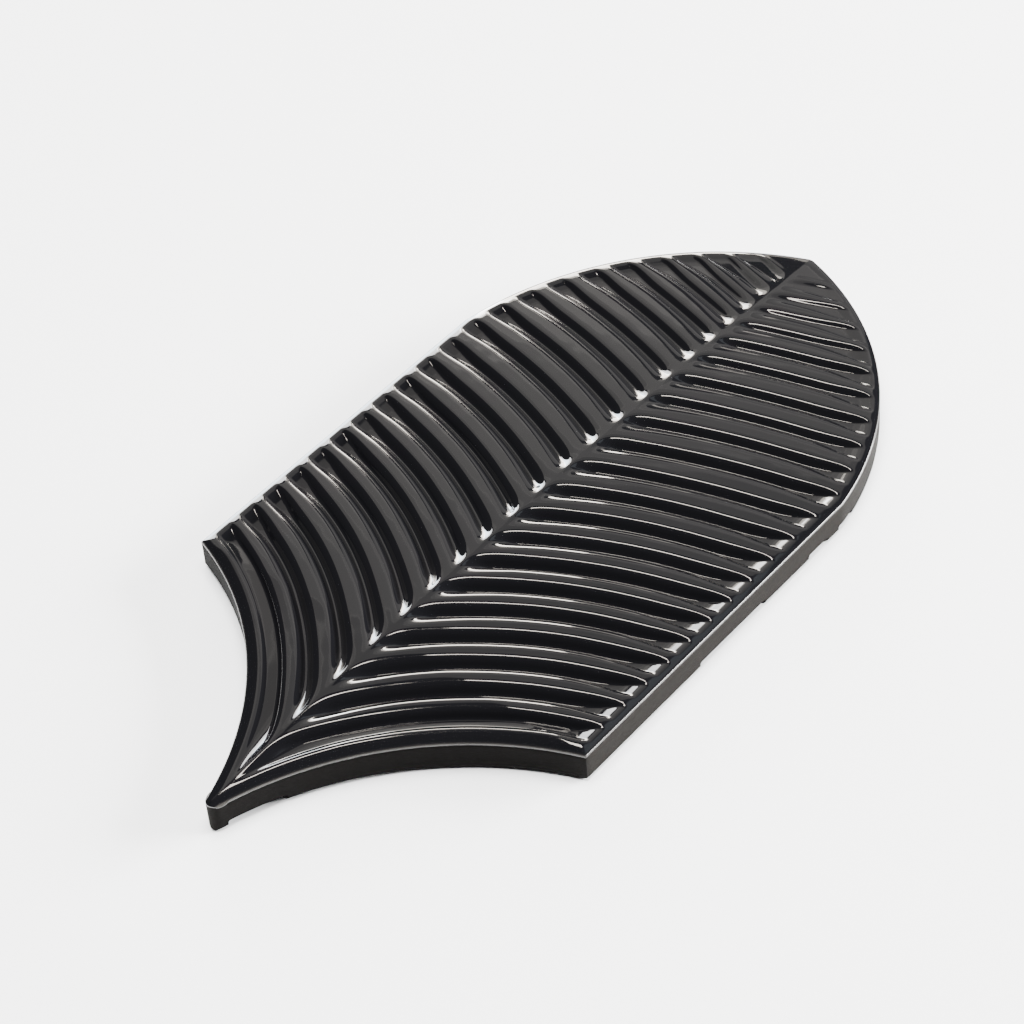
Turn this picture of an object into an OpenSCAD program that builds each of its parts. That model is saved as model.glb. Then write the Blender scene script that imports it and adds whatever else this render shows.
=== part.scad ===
// Leaf-shaped glazed wall tile. The round nose of one tile nests in the hollow tail
// of the two tiles below it, so the whole outline comes from one radius and one joint.
// Millimetres, back of the tile on z = 0, tail towards -Y and tip towards +Y.

/* [Outline] */
// Width across the straight sides
tile_w = 120; // [118:1:122]
// Length from the blunt tail to the tip
tile_len = 235; // [230:1:240]
// Radius of the two arcs that form the nose
nose_r = 90; // [89:1:95]
// How far the centre of each nose arc lies beyond the midrib
nose_in = 29; // [27:1:30]
// Grout joint between tiles
joint_w = 2; // [1:0.5:3]
// Distance from one row of tiles to the next
row_pitch = 175; // [173:1:178]

/* [Face] */
// Height of the side walls, from the back to the arris
edge_h = 9.3; // [8:0.1:12]
// Rise of the midrib above the arris
crown_h = 3.9; // [2:0.1:5]
// Exponent of the fall from the midrib to the margin; 2 is a round vault, 1 a flat roof
crown_power = 1.3; // [1:0.1:2]
// Thickness of the glaze coat
glaze_t = 0.35; // [0.2:0.05:0.6]

/* [Veins] */
// Number of flutes on each side of the midrib
flute_count = 20; // [8:1:20]
// Distance from the tail arc to the middle of the first flute
first_flute = 6.5; // [5:0.5:8]
// Width of a flute, from rib to rib
flute_w = 6.2; // [4:0.2:6.4]
// Depth of a flute
flute_depth = 2; // [0.5:0.1:2.4]
// Gap between the midrib and the inner end of a flute
inner_gap = 0.7; // [0.5:0.1:4]
// Gap between the margin and the outer end of a flute
outer_gap = 1.2; // [1:0.1:4]
// Length over which a flute runs out at each end
run_out = 4.4; // [2:0.1:6]

/* [Back] */
// Chamfer around the back
back_chamfer = 1.2; // [0.5:0.1:2]
// Depth of the keying channels across the back
key_depth = 2.3; // [1:0.1:3]

/* [Hidden] */

// Facets of a full circle
$fn = 256;
// How far the face is drawn past the outline before it is cut
spare = 2;
// Share of the half width at which the fall of the crown stops, just past the outline
past_edge = 1.05;
// Keying channels across the back: distance of the middle from the tail, and width
KEYS = [[10, 14], [118, 26], [153, 8], [165, 7]];
// Distance from one flute to the next, by flute number: closest at the tip
FLUTE_STEP = [[0, 7.9], [2, 8.2], [5, 7.8], [10, 9.3], [14, 8.9], [18, 6.5]];
// Share of the full depth, by flute number: the last flutes fade out
FLUTE_FADE = [[0, 1], [15, 1], [19, 0.4]];
// Section of a flute: distance from its middle as a share of its half width, and share of
// its depth. The ribs roll over gently and the flute is narrow at the bottom.
SECTION = [[-1, 0], [-0.43, 0.36], [0, 1], [0.43, 0.36], [1, 0]];

// Nose and tail arcs, seen on the right half; the left half is its mirror image
nose_cy = tile_len - sqrt(pow(nose_r, 2) - pow(nose_in, 2));
tail_r = nose_r + joint_w;
tail_cx = nose_in + (tile_w + joint_w) / 2;
tail_cy = nose_cy - row_pitch;
corner_y = tail_cy + sqrt(pow(tail_r, 2) - pow(tail_cx - tile_w / 2, 2));
shoulder_y = nose_cy + sqrt(pow(nose_r, 2) - pow(nose_in + tile_w / 2, 2));
shoulder_r = norm([tail_cx - tile_w / 2, shoulder_y - tail_cy]);
tip_r = norm([tail_cx, tile_len - tail_cy]);

// Half the width of the tile at a distance y from the tail
function half_width(y) =
    y < corner_y ? tail_cx - sqrt(max(0, pow(tail_r, 2) - pow(y - tail_cy, 2))) :
    y < shoulder_y ? tile_w / 2 :
    sqrt(max(0, pow(nose_r, 2) - pow(y - nose_cy, 2))) - nose_in;

// Rise of the plain crown above the arris; it falls on a little way past the outline
function crest(y) = crown_h * max(0, 1 - pow(2 * y / tile_len - 1, 2));
function crown(x, y) = crest(y) * (1 - pow(min(past_edge, abs(x) / max(half_width(y), 0.01)), crown_power));

// The veins are circles about the centre of the tail arc. A point on one is given by
// its radius and the angle between it and the -X direction.
function on_vein(r, a) = [tail_cx - r * cos(a), tail_cy + r * sin(a)];
function inner_angle(r) = acos(min(1, tail_cx / r));

// Where a vein meets the outline: the straight side, or the crossing of two circles
nose_off = [tail_cx + nose_in, nose_cy - tail_cy];
nose_dist = norm(nose_off);
nose_dir = atan2(nose_off[1], nose_off[0]);
function nose_angle(r) =
    nose_dir + acos((pow(r, 2) + pow(nose_dist, 2) - pow(nose_r, 2)) / (2 * r * nose_dist));
function outer_angle(r) = r < shoulder_r ? acos((tail_cx - tile_w / 2) / r) : nose_angle(r);

// Flutes
function flute_r(k) = k == 0 ? tail_r + first_flute : flute_r(k - 1) + lookup(k - 1, FLUTE_STEP);
FLUTES = [for (k = [0 : flute_count - 1]) flute_r(k)];
function ease(u) = let (v = min(1, max(0, u))) v * v * (3 - 2 * v);

// Rows of the face, each one vein radius with the depth of the flute there. The first and
// last rows and the last column lie outside the outline, which then cuts the face to shape.
MARGIN_ROWS = [[tail_r - spare, 0], [tail_r + (first_flute - flute_w / 2) / 2, 0]];
FLUTE_ROWS = [
    for (k = [0 : flute_count - 1]) for (s = SECTION)
        [FLUTES[k] + s[0] * flute_w / 2, s[1] * flute_depth * lookup(k, FLUTE_FADE)]
];
last_r = FLUTES[flute_count - 1] + flute_w / 2;
TIP_ROWS = [for (u = [1 / 2, 1]) [last_r + u * (tip_r + spare - last_r), 0]];
ROWS = concat(MARGIN_ROWS, FLUTE_ROWS, TIP_ROWS);
n_rows = len(ROWS);

// Columns of the face: distances along a vein of length len, close together at its ends.
// On a short vein the columns at both ends are squeezed into most of its length.
INNER_COLS = [0, inner_gap, inner_gap + run_out / 2, inner_gap + run_out];
MIDDLE_COLS = 5;
OUTER_COLS = [outer_gap + run_out, outer_gap + run_out / 2, outer_gap];
ends_share = 0.8;
function squeeze(len) = min(1, ends_share * len / (inner_gap + outer_gap + 2 * run_out));
function columns(len) =
    let (k = squeeze(len), from = k * INNER_COLS[3], to = len - k * OUTER_COLS[0])
    concat(
        k * INNER_COLS,
        [for (i = [1 : MIDDLE_COLS]) from + i / (MIDDLE_COLS + 1) * (to - from)],
        [for (d = OUTER_COLS) len - k * d],
        [len + spare]
    );
COLS = len(INNER_COLS) + MIDDLE_COLS + len(OUTER_COLS) + 1;
// Shortest row of the grid, past the nose
tip_len = 12;

// Share of the flute's depth at a distance s along a vein of length len
function run(s, len) = ease((s - inner_gap) / run_out) * ease((len - s - outer_gap) / run_out);

// One point of the face on the right half
function face_point(row, col) =
    let (
        r = ROWS[row][0],
        a0 = inner_angle(r),
        len = (outer_angle(r) - a0) * PI / 180 * r,
        s = columns(max(len, tip_len))[col],
        p = on_vein(r, a0 + s / r * 180 / PI)
    )
    [p[0], p[1], edge_h + crown(p[0], p[1]) - ROWS[row][1] * run(s, len)];

RIGHT = [for (i = [0 : n_rows - 1]) [for (j = [0 : COLS - 1]) face_point(i, j)]];
WIDE = 2 * COLS - 1;

// The whole face, row by row from the left margin to the right one
FACE = [
    for (row = RIGHT) for (j = [-COLS + 1 : COLS - 1])
        let (p = row[abs(j)]) [sign(j) * p[0], p[1], p[2]]
];
n_face = len(FACE);
function at(i, j) = i * WIDE + j;

// Faces of the grid, seen from above
UPPER = [
    for (i = [0 : n_rows - 2]) for (j = [0 : WIDE - 2]) each [
        [at(i, j), at(i + 1, j), at(i + 1, j + 1)],
        [at(i, j), at(i + 1, j + 1), at(i, j + 1)]
    ]
];

// Points of the grid's edge, anticlockwise
RIM = concat(
    [for (j = [0 : WIDE - 1]) at(0, j)],
    [for (i = [1 : n_rows - 1]) at(i, WIDE - 1)],
    [for (j = [WIDE - 2 : -1 : 0]) at(n_rows - 1, j)],
    [for (i = [n_rows - 2 : -1 : 1]) at(i, 0)]
);
n_rim = len(RIM);

function lowered(drop) = [for (p = FACE) p - [0, 0, drop]];

// Everything under the face, down to below the back
module under_face(drop) {
    polyhedron(
        points = concat(lowered(drop), [for (i = RIM) [FACE[i][0], FACE[i][1], -spare]]),
        faces = concat(
            UPPER,
            [for (i = [0 : n_rim - 1]) let (j = (i + 1) % n_rim)
                each [[RIM[i], RIM[j], n_face + j], [RIM[i], n_face + j, n_face + i]]],
            [[for (i = [0 : n_rim - 1]) n_face + i]]
        ),
        convexity = 10
    );
}

// A skin of even height under the face
module face_skin(thickness) {
    polyhedron(
        points = concat(FACE, lowered(thickness)),
        faces = concat(
            UPPER,
            [for (f = UPPER) [f[2] + n_face, f[1] + n_face, f[0] + n_face]],
            [for (i = [0 : n_rim - 1]) let (a = RIM[i], b = RIM[(i + 1) % n_rim])
                each [[a, b, b + n_face], [a, b + n_face, a + n_face]]]
        ),
        convexity = 10
    );
}

// A round column whose radius changes by the chamfer at its foot
module footed_column(r, foot, h) {
    cylinder(h = back_chamfer, r1 = r + foot, r2 = r);
    translate([0, 0, back_chamfer]) cylinder(h = h - back_chamfer, r = r);
}

// The block between the straight sides, from the tail to the middle of the nose arcs
module sides(h, foot) {
    w = tile_w / 2;
    translate([0, tile_len, 0])
    rotate([90, 0, 0])
    linear_extrude(tile_len)
    polygon([[-w + foot, 0], [w - foot, 0], [w, back_chamfer], [w, h], [-w, h], [-w, back_chamfer]]);
}

// Outline of the tile as a column of height h, its foot drawn in by a chamfer
module outline(h, foot) {
    difference() {
        intersection() {
            sides(h, foot);
            for_nose(1, h, foot);
            for_nose(-1, h, foot);
        }
        for (side = [-1, 1])
            translate([side * tail_cx, tail_cy, 0]) footed_column(tail_r, foot, h + 1);
    }
}

// Everything within one nose arc, or below its centre
module for_nose(side, h, foot) {
    translate([-side * nose_in, nose_cy, 0]) footed_column(nose_r, -foot, h);
    translate([-tile_w, 0, 0]) cube([2 * tile_w, nose_cy, h]);
}

module ceramic_body() {
    color([0.20, 0.18, 0.17])
    translate([0, -tile_len / 2, 0])
    difference() {
        intersection() {
            outline(edge_h + crown_h + 1, back_chamfer);
            under_face(glaze_t);
        }
        for (key = KEYS)
            translate([-tile_w, key[0] - key[1] / 2, -1])
            cube([2 * tile_w, key[1], key_depth + 1]);
    }
}

module glaze_coat() {
    color([0.05, 0.05, 0.055])
    translate([0, -tile_len / 2, 0])
    intersection() {
        outline(edge_h + crown_h + 1, 0);
        face_skin(glaze_t);
    }
}

ceramic_body();
glaze_coat();
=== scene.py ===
import math

import bmesh
import bpy
import numpy as np
from mathutils import Matrix, Vector


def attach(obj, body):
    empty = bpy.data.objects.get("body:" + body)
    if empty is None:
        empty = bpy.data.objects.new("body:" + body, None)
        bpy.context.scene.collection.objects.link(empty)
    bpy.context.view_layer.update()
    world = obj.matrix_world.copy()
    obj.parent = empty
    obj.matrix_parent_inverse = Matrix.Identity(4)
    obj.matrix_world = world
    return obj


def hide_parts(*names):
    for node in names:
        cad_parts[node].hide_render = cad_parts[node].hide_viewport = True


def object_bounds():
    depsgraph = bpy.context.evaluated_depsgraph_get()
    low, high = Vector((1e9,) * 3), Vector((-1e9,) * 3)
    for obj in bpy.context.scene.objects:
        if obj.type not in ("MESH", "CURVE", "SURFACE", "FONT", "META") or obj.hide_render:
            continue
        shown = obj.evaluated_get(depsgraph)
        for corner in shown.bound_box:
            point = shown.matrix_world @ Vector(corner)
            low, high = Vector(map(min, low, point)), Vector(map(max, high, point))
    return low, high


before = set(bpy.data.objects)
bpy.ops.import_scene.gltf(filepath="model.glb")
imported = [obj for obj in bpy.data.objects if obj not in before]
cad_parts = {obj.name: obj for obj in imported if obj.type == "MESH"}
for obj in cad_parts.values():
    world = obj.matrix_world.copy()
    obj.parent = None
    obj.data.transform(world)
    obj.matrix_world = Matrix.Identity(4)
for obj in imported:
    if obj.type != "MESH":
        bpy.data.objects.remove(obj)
cad_low, cad_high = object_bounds()

# ---------------------------------------------------------------- sizes, in millimetres
# The tile's own plan: tail at y = 0, tip at y = tile_len, midrib on x = 0, back on z = 0.
MM = 0.001
tile_w = (cad_high[0] - cad_low[0]) / MM
tile_len = (cad_high[1] - cad_low[1]) / MM
edge_h = 9.3
crown_h = (cad_high[2] - cad_low[2]) / MM - edge_h
crown_power = 1.3
nose_r = 90.0
nose_in = 29.0
joint_w = 2.0
row_pitch = 175.0
tail_round = 1.3
glaze_t = 0.35
back_chamfer = 1.2
key_depth = 2.3
key_wear = 0.5
# Keying channels: distance of the middle from the tail, and width
keys = ((10, 14), (118, 26), (153, 8), (165, 7))

# Flutes: spacing and share of the full depth by flute number, and the section across one
first_flute = 6.5
flute_step = ([0, 2, 5, 10, 14, 18], [7.9, 8.2, 7.8, 9.3, 8.9, 6.5])
flute_fade = ([0, 8, 12, 16, 19, 21], [1.0, 0.9, 0.74, 0.55, 0.3, 0.08])
flute_count = 22
flute_half = 4.1
hollow_w = 1.0
wall_slope = math.tan(math.radians(55))

# The ends of a flute: gaps at the midrib and at the margin, and how fast it runs in.
# Shallow flutes run in over a shorter length, and every flute widens towards the margin.
inner_gap = 0.1
outer_gap = 1.3
inner_run = 3.0
outer_run = 4.4
end_widen = 0.8
end_reach = 8.0
run_power = 1.6
run_least = 0.2
# Widening of a flute beside the midrib: two bell curves across, height and reach of each
necks = ((0.9, 8.0), (0.45, 2.5))

# The rounded arris, the rolled margin inside it, and the strip where the glaze runs thin
arris_r = 0.25
roll_w = 3.6
roll_slope = 0.36
thin_w = 0.35

# Slow unevenness: size, wavelength and seed of the sway of the flutes and of the fired face
flute_sway = (0.35, 60.0, 3)
face_wave = (0.02, 9.0, 5)

# Fineness of the meshes: rows for each flute, and columns from the midrib to the margin
glaze_rows, glaze_cols = 26, 112
body_rows, body_cols = 9, 60

# Hand-made unevenness in the depth of the flutes, left and right
flute_vary = np.random.default_rng(11).uniform(0.88, 1.1, (2, flute_count))

# Outline: nose and tail arcs of the right half; the left half is the mirror image
nose_cy = tile_len - math.sqrt(nose_r**2 - nose_in**2)
tail_r = nose_r + joint_w
tail_cx = nose_in + (tile_w + joint_w) / 2
tail_cy = nose_cy - row_pitch
corner_y = tail_cy + math.sqrt(tail_r**2 - (tail_cx - tile_w / 2) ** 2)
shoulder_y = nose_cy + math.sqrt(nose_r**2 - (nose_in + tile_w / 2) ** 2)
shoulder_r = math.hypot(tail_cx - tile_w / 2, shoulder_y - tail_cy)
tip_r = math.hypot(tail_cx, tile_len - tail_cy)
flutes = tail_r + first_flute + np.concatenate(
    [[0], np.cumsum(np.interp(np.arange(flute_count - 1), *flute_step))]
)


# ---------------------------------------------------------------- the face as a height
def half_width(y):
    """Half the tile's width at a distance y from the tail."""
    tail = tail_cx - np.sqrt(np.maximum(0, tail_r**2 - (y - tail_cy) ** 2))
    nose = np.sqrt(np.maximum(0, nose_r**2 - (y - nose_cy) ** 2)) - nose_in
    return np.where(y < corner_y, tail, np.where(y < shoulder_y, tile_w / 2, nose))


def crown(x, y):
    """Rise of the plain vault above the arris."""
    crest = crown_h * np.maximum(0, 1 - (2 * y / tile_len - 1) ** 2)
    return crest * (1 - np.minimum(1, x / np.maximum(half_width(y), 0.01)) ** crown_power)


def inside(x, y):
    """Distance from a point to the outline, positive inside it."""
    side = tile_w / 2 - x
    tail = np.hypot(x - tail_cx, y - tail_cy) - tail_r
    nose = np.where(y > nose_cy, nose_r - np.hypot(x + nose_in, y - nose_cy), 1e3)
    return np.minimum(np.minimum(side, tail), np.minimum(nose, y + 0.5))


def trough(d):
    """Depth at a distance d inside the edge of a flute: a long soft shoulder, then a hollow."""
    w = flute_half - hollow_w
    over = np.clip(d, 0, w)
    past = np.clip(d - w, 0, hollow_w)
    return wall_slope * (over**3.5 / (3.5 * w**2.5) + past - past**3 / (3 * hollow_w**2))


def run_in(s, length):
    """Share of the full depth at a distance s from the end of a flute: steep, then slow."""
    return 1 - np.exp(-((np.maximum(0, s) / length) ** run_power))


def ripple(x, y, amount, length, seed):
    """Slow unevenness of the fired glaze: a few sine waves in seeded directions."""
    rng = np.random.default_rng(seed)
    total = np.zeros_like(x)
    for _ in range(7):
        turn, phase = rng.uniform(0, 2 * math.pi, 2)
        wave = 2 * math.pi / (length * rng.uniform(0.6, 1.6))
        total += np.sin(wave * (x * math.cos(turn) + y * math.sin(turn)) + phase)
    return total * amount / 7


def face_height(x, y):
    """Height of the glazed face above the back."""
    ax = np.abs(x)
    r = np.hypot(ax - tail_cx, y - tail_cy)
    r = r + ripple(x, y, *flute_sway)
    near = np.abs(r[..., None] - flutes).argmin(-1)
    edge = inside(ax, y)
    half = flute_half + sum(rise * np.exp(-((ax / reach) ** 2)) for rise, reach in necks)
    d = (half - np.abs(r - flutes[near])) * flute_half / half
    d = d * (1 + end_widen * np.exp(-((edge / end_reach) ** 2)))
    fade = np.interp(near, *flute_fade)
    outer = outer_run * (run_least + (1 - run_least) * fade)
    ends = run_in(edge - outer_gap, outer) * run_in(ax - inner_gap, inner_run)
    deep = fade * flute_vary[(x > 0).astype(int), near]
    z = edge_h + crown(ax, y) - deep * ends * trough(d)
    z = z - roll_slope * np.clip(roll_w - edge, 0, roll_w) ** 2 / (2 * roll_w)
    drop = np.clip(arris_r - edge, 0, arris_r)
    z = z - (arris_r - np.sqrt(arris_r**2 - drop**2))
    return z + ripple(x, y, *face_wave)


# ---------------------------------------------------------------- grids that follow the flutes
def vein_row(r, cols):
    """Points of the right half along the circle of radius r, from the midrib to the outline."""
    a0 = math.acos(min(1, tail_cx / r))
    if r < shoulder_r:
        a1 = math.acos((tail_cx - tile_w / 2) / r)
    else:
        dx, dy = tail_cx + nose_in, nose_cy - tail_cy
        span = math.hypot(dx, dy)
        a1 = math.atan2(dy, dx) + math.acos((r**2 + span**2 - nose_r**2) / (2 * r * span))
    a = a0 + (a1 - a0) * spread((a1 - a0) * r, cols)
    return tail_cx - r * np.cos(a), tail_cy + r * np.sin(a)


def spread(length, cols):
    """Places along a row, from 0 to 1, close together within 7 mm of both ends."""
    near, most = 7.0, 0.35
    dense = min(near, most * length) / length
    third = cols // 3
    head = np.linspace(0, dense, third, endpoint=False)
    body = np.linspace(dense, 1 - dense, cols - 2 * third, endpoint=False)
    tail = 1 - dense * (1 - np.linspace(0, 1, third)) ** 1.2
    return np.concatenate([head, body, tail])


def outline_row(cols):
    """The hollow tail of the right half, from the middle of the round tail to the corner."""
    start = math.asin(min(1, (tail_round - tail_cy) / tail_r))
    end = math.acos((tail_cx - tile_w / 2) / tail_r)
    a = start + (end - start) * spread((end - start) * tail_r, cols)
    x, y = tail_cx - tail_r * np.cos(a), tail_cy + tail_r * np.sin(a)
    bend = cols // 8
    turn = np.linspace(0, math.pi / 2, bend, endpoint=False)
    join_x, join_y = x[bend], y[bend]
    x[:bend] = join_x * np.sin(turn)
    y[:bend] = join_y * (1 - np.cos(turn))
    return x, y


def half_grid(radii, cols):
    """Rows of the right half, from the tail's outline to the tip."""
    blend_to = 3.0
    ox, oy = outline_row(cols)
    xs, ys = [], []
    for r in radii:
        past = (r - tail_r) / blend_to
        if past < 1:
            bx, by = vein_row(tail_r + blend_to, cols)
            x, y = ox + (bx - ox) * past, oy + (by - oy) * past
        else:
            x, y = vein_row(r, cols)
        xs.append(x)
        ys.append(y)
    return np.array(xs), np.array(ys)


def full_grid(radii, cols):
    x, y = half_grid(radii, cols)
    return (
        np.concatenate([-x[:, :0:-1], x], axis=1),
        np.concatenate([y[:, :0:-1], y], axis=1),
    )


def face_radii(fine):
    """Row radii: close together at the tail, then the same number of rows for every flute."""
    middles = (flutes[1:] + flutes[:-1]) / 2
    first = 2 * flutes[0] - middles[0]
    stops = np.concatenate([[first], middles, [2 * flutes[-1] - middles[-1]]])
    rows = list(tail_r + np.linspace(0, 1, 9)[:-1] ** 1.5 * (first - tail_r))
    for a, b in zip(stops[:-1], stops[1:]):
        rows += list(np.linspace(a, b, fine, endpoint=False))
    return rows + list(np.linspace(stops[-1], tip_r - 0.5, 3 * fine // 2))


# ---------------------------------------------------------------- meshes
def to_frame(x, y, z):
    return np.stack([x, y - tile_len / 2, z], -1) * MM


def new_mesh(name, points, faces):
    mesh = bpy.data.meshes.new(name)
    mesh.from_pydata(points.reshape(-1, 3).tolist(), [], faces)
    mesh.validate()
    mesh.update()
    obj = bpy.data.objects.new(name, mesh)
    bpy.context.scene.collection.objects.link(obj)
    return obj


def grid_quads(rows, wide, start=0, flip=False):
    i, j = np.meshgrid(np.arange(rows - 1), np.arange(wide - 1), indexing="ij")
    a = start + i * wide + j
    quads = np.stack([a, a + 1, a + wide + 1, a + wide], -1).reshape(-1, 4)
    return (quads[:, ::-1] if flip else quads).tolist()


def grid_rim(rows, wide):
    """Indices round the grid's edge, anticlockwise from above."""
    return (
        [j for j in range(wide)]
        + [i * wide + wide - 1 for i in range(1, rows)]
        + [(rows - 1) * wide + j for j in range(wide - 2, -1, -1)]
        + [i * wide for i in range(rows - 2, 0, -1)]
    )


def band(upper, lower):
    """Quads between two closed rings of indices, facing outwards."""
    n = len(upper)
    return [[upper[i], lower[i], lower[(i + 1) % n], upper[(i + 1) % n]] for i in range(n)]


def shade_smooth(obj, crease=None):
    obj.data.polygons.foreach_set("use_smooth", [True] * len(obj.data.polygons))
    if crease:
        obj.data.set_sharp_from_angle(angle=math.radians(crease))


def glaze_mesh():
    """The glaze: the whole face in fine rows, with a thin edge and an underside."""
    x, y = full_grid(face_radii(glaze_rows), glaze_cols)
    z = face_height(x, y)
    rows, wide = x.shape
    n = rows * wide
    points = np.concatenate([
        to_frame(x, y, z).reshape(-1, 3),
        to_frame(x * 0.9995, y, z - glaze_t).reshape(-1, 3),
    ])
    rim = grid_rim(rows, wide)
    faces = grid_quads(rows, wide) + grid_quads(rows, wide, n, True)
    faces += band(rim, [i + n for i in rim])
    obj = new_mesh("black_glaze", points, faces)
    thin = np.clip(1 - inside(np.abs(x), y) / thin_w, 0, 1).ravel()
    obj.data.attributes.new("thin", "FLOAT", "POINT").data.foreach_set("value", np.tile(thin, 2))
    shade_smooth(obj)
    return obj


def ring_inset(points, d):
    """Plan points of the rim, each moved inwards until it is d inside the outline."""
    p = points.copy()
    step = 0.01
    for _ in range(6):
        x, y = np.abs(p[:, 0]), p[:, 1]
        short = np.maximum(0, d - inside(x, y))
        gx = (inside(x + step, y) - inside(x - step, y)) / (2 * step) * np.sign(p[:, 0])
        gy = (inside(x, y + step) - inside(x, y - step)) / (2 * step)
        p[:, 0] += short * gx
        p[:, 1] += short * gy
    return p


def cut_keys(obj):
    """Keying channels across the back, their edges a little worn."""
    bm = bmesh.new()
    for middle, width in keys:
        box = bmesh.ops.create_cube(bm, size=1)["verts"]
        for v in box:
            v.co.x *= 1.2 * tile_w
            v.co.y = middle + v.co.y * width - tile_len / 2
            v.co.z = key_depth if v.co.z > 0 else -key_depth
            v.co *= MM
    edges = [e for e in bm.edges if all(v.co.z > 0 for v in e.verts)]
    bmesh.ops.bevel(bm, geom=edges, offset=key_wear * MM, segments=3, profile=0.5, affect="EDGES")
    mesh = bpy.data.meshes.new("cutter")
    bm.to_mesh(mesh)
    bm.free()
    cutter = bpy.data.objects.new("cutter", mesh)
    bpy.context.scene.collection.objects.link(cutter)
    cut = obj.modifiers.new("keys", "BOOLEAN")
    cut.operation, cut.solver, cut.object = "DIFFERENCE", "EXACT", cutter
    graph = bpy.context.evaluated_depsgraph_get()
    done = bpy.data.meshes.new_from_object(obj.evaluated_get(graph))
    obj.modifiers.clear()
    obj.data = done
    bpy.data.objects.remove(cutter)


def body_mesh():
    """The clay: side walls, chamfered foot, back, and a closed top under the glaze."""
    under_glaze = 0.05
    x, y = full_grid(face_radii(body_rows), body_cols)
    z = face_height(x, y) - glaze_t - under_glaze
    rows, wide = x.shape
    n = rows * wide
    rim = grid_rim(rows, wide)
    plan = np.stack([x.ravel()[rim], y.ravel()[rim]], 1)
    top = z.ravel()[rim]
    points = [to_frame(x, y, z).reshape(-1, 3)]
    faces = grid_quads(rows, wide)
    wall = [(0.0, top * share) for share in (0.85, 0.68, 0.5, 0.34, 0.2)]
    foot = [(inset * back_chamfer, np.full(len(rim), height * back_chamfer))
            for inset, height in ((0, 1), (0.25, 0.625), (0.625, 0.25), (1, 0))]
    upper, count = rim, n
    for inset, height in wall + foot:
        ring = ring_inset(plan, inset)
        points.append(to_frame(ring[:, 0], ring[:, 1], height))
        lower = list(range(count, count + len(rim)))
        faces += band(upper, lower)
        upper, count = lower, count + len(rim)
    faces.append(upper[::-1])
    obj = new_mesh("fired_clay_body", np.concatenate(points), faces)
    cut_keys(obj)
    # Painted shade: a mask that is 1 on the hollow tail's side wall and fades out 1.5 mm inside, used to
    # darken the clay there
    place = np.array([v.co for v in obj.data.vertices]) / MM
    off_tail = np.hypot(np.abs(place[:, 0]) - tail_cx, place[:, 1] + tile_len / 2 - tail_cy) - tail_r
    painted_shade_reach = 1.5
    painted_tail_shade = np.clip(1 - off_tail / painted_shade_reach, 0, 1)
    obj.data.attributes.new("painted_tail_shade", "FLOAT", "POINT").data.foreach_set("value", painted_tail_shade)
    shade_smooth(obj, 30)
    return obj


glaze = glaze_mesh()
body = body_mesh()
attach(glaze, "root")
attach(body, "root")
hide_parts("glaze_coat")
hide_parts("ceramic_body")


# ---------------------------------------------------------------- materials
def material(name):
    mat = bpy.data.materials.new(name)
    mat.use_nodes = True
    tree = mat.node_tree
    shader = tree.nodes["Principled BSDF"]
    return mat, tree, shader


def link(tree, a, b):
    tree.links.new(a, b)


def glaze_material():
    """Black glass, paler and duller where it runs thin over the arris."""
    mat, tree, shader = material("black_glaze")
    shader.inputs["IOR"].default_value = 1.52
    thin = tree.nodes.new("ShaderNodeAttribute")
    thin.attribute_name = "thin"
    noise = tree.nodes.new("ShaderNodeTexNoise")
    noise.inputs["Scale"].default_value = 900
    noise.inputs["Detail"].default_value = 4
    worn = tree.nodes.new("ShaderNodeMath")
    worn.operation = "MULTIPLY"
    link(tree, thin.outputs["Fac"], worn.inputs[0])
    link(tree, noise.outputs["Fac"], worn.inputs[1])
    colour = tree.nodes.new("ShaderNodeValToRGB")
    colour.color_ramp.elements[0].color = (0.0025, 0.0025, 0.003, 1)
    colour.color_ramp.elements[1].position = 0.55
    colour.color_ramp.elements[1].color = (0.035, 0.033, 0.03, 1)
    link(tree, worn.outputs[0], colour.inputs["Fac"])
    link(tree, colour.outputs["Color"], shader.inputs["Base Color"])
    rough = tree.nodes.new("ShaderNodeMapRange")
    rough.inputs["To Min"].default_value = 0.06
    rough.inputs["To Max"].default_value = 0.5
    link(tree, worn.outputs[0], rough.inputs["Value"])
    link(tree, rough.outputs["Result"], shader.inputs["Roughness"])
    return mat


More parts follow.
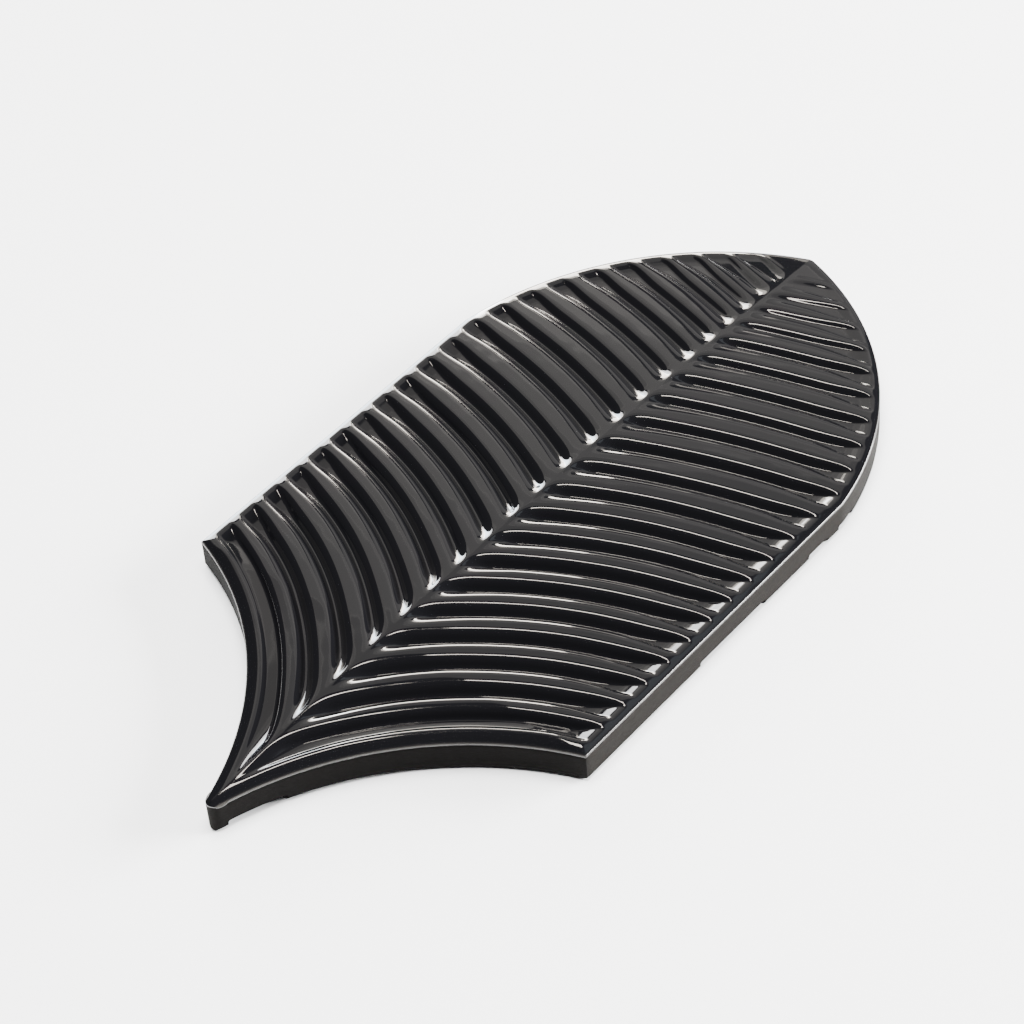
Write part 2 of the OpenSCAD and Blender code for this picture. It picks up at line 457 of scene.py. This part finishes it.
def clay_material():
    """Dark stoneware, a little mottled, with painted shade darkening it to near black up to the outline
    of the tail.
    """
    mat, tree, shader = material("fired_clay")
    shader.inputs["Roughness"].default_value = 0.6
    shader.inputs["Specular IOR Level"].default_value = 0.03
    painted_tail_shade = tree.nodes.new("ShaderNodeAttribute")
    painted_tail_shade.attribute_name = "painted_tail_shade"
    noise = tree.nodes.new("ShaderNodeTexNoise")
    noise.inputs["Scale"].default_value = 120
    noise.inputs["Detail"].default_value = 8
    colour = tree.nodes.new("ShaderNodeValToRGB")
    colour.color_ramp.elements[0].position = 0.35
    colour.color_ramp.elements[0].color = (0.004, 0.0035, 0.003, 1)
    colour.color_ramp.elements[1].position = 0.7
    colour.color_ramp.elements[1].color = (0.013, 0.0115, 0.010, 1)
    link(tree, noise.outputs["Fac"], colour.inputs["Fac"])
    # Painted shade: mixes in a near-black clay colour where the tail-wall mask is set, so the front wall
    # reads darker than the lit side
    dark = tree.nodes.new("ShaderNodeMix")
    dark.data_type = "RGBA"
    dark.inputs["B"].default_value = (0.003, 0.0027, 0.0025, 1)
    link(tree, painted_tail_shade.outputs["Fac"], dark.inputs["Factor"])
    link(tree, colour.outputs["Color"], dark.inputs["A"])
    link(tree, dark.outputs["Result"], shader.inputs["Base Color"])
    bump = tree.nodes.new("ShaderNodeBump")
    bump.inputs["Distance"].default_value = 0.0002
    bump.inputs["Strength"].default_value = 0.5
    link(tree, noise.outputs["Fac"], bump.inputs["Height"])
    link(tree, bump.outputs["Normal"], shader.inputs["Normal"])
    return mat


glaze.data.materials.append(glaze_material())
body.data.materials.append(clay_material())


# ---------------------------------------------------------------- floor
def floor():
    size = 2.5
    corners = np.array([[-size, -size, 0], [size, -size, 0], [size, size, 0], [-size, size, 0]])
    obj = new_mesh("floor", corners, [[0, 1, 2, 3]])
    mat, tree, shader = material("pale_floor")
    shader.inputs["Base Color"].default_value = (0.85, 0.85, 0.85, 1)
    shader.inputs["Roughness"].default_value = 0.9
    obj.data.materials.append(mat)


floor()


# ---------------------------------------------------------------- lights
def panel(name, azimuth, elevation, distance, width, height, radiance, color=(1, 1, 1)):
    """A soft rectangular light facing the tile, from a bearing (0 is +X, 90 is +Y)."""
    a, e = math.radians(azimuth), math.radians(elevation)
    place = Vector((math.cos(a) * math.cos(e), math.sin(a) * math.cos(e), math.sin(e))) * distance
    data = bpy.data.lights.new(name, "AREA")
    data.shape = "RECTANGLE"
    data.size, data.size_y = width, height
    data.energy = radiance * math.pi * width * height
    data.color = color
    obj = bpy.data.objects.new(name, data)
    obj.location = place
    obj.rotation_euler = (-place).to_track_quat("-Z", "Y").to_euler()
    bpy.context.scene.collection.objects.link(obj)
    return obj


def lights():
    """A dim room, panels that the glaze mirrors as lines of light, and two soft fills."""
    world = bpy.data.worlds.new("dim room")
    world.use_nodes = True
    world.node_tree.nodes["Background"].inputs["Color"].default_value = (0.07, 0.07, 0.075, 1)
    world.node_tree.nodes["Background"].inputs["Strength"].default_value = 1.0
    bpy.context.scene.world = world
    warm, soft_warm, cool = (1.0, 0.93, 0.84), (1.0, 0.96, 0.9), (0.84, 0.93, 1.0)
    panel("overhead_strip", 127, 70, 2.2, 0.3, 0.19, 40, warm)
    for elevation, height, radiance in ((52, 0.48, 0.75), (43, 0.24, 0.98), (37, 0.24, 1.15)):
        panel("back_%d" % elevation, 131, elevation, 2.2, 2.0, height, radiance, soft_warm)
    panel("back_31", 135, 31.5, 2.2, 0.6, 0.19, 1.6, soft_warm)
    panel("far_wall", 110, 21, 2.2, 0.7, 1.0, 0.7, soft_warm)
    panel("low_strip", 133, 12.5, 2.2, 0.7, 0.66, 36, warm)
    panel("low_glow", 136, 25, 2.2, 0.45, 0.3, 9, warm)
    panel("low_side", 121.5, 12, 2.2, 0.2, 0.5, 2.5, warm)
    panel("window", 149, 9, 2.0, 0.62, 0.45, 32, cool)
    panel("window_top", 148, 21, 2.0, 0.66, 0.4, 20)
    panel("cool_high", 82, 60, 2.0, 0.5, 0.4, 0.8, cool)
    panel("right_back", 42, 37, 1.8, 0.4, 0.16, 10)
    panel("side_fill", 50, 16, 1.6, 1.2, 0.45, 125)
    soft = panel("table_fill", -90, 88, 2.2, 1.4, 1.4, 36)
    soft.visible_glossy = False


lights()


# ---------------------------------------------------------------- camera
def camera():
    """A long lens at the tail end, to the right, looking down at the tile."""
    place = Vector((0.3787, -0.3017 - tile_len / 2 * MM, 0.5412 + edge_h * MM))
    forward = Vector((-0.489, 0.531, -0.692)).normalized()
    right = forward.cross(Vector((0, 0, 1))).normalized()
    up = right.cross(forward)
    roll = math.radians(-5.06)
    right, up = right * math.cos(roll) + up * math.sin(roll), up * math.cos(roll) - right * math.sin(roll)
    data = bpy.data.cameras.new("camera")
    data.sensor_width = 36
    data.lens = 112.26
    obj = bpy.data.objects.new("camera", data)
    turn = Matrix((right, up, -forward)).transposed()
    obj.matrix_world = Matrix.Translation(place) @ turn.to_4x4()
    bpy.context.scene.collection.objects.link(obj)
    bpy.context.scene.camera = obj


camera()
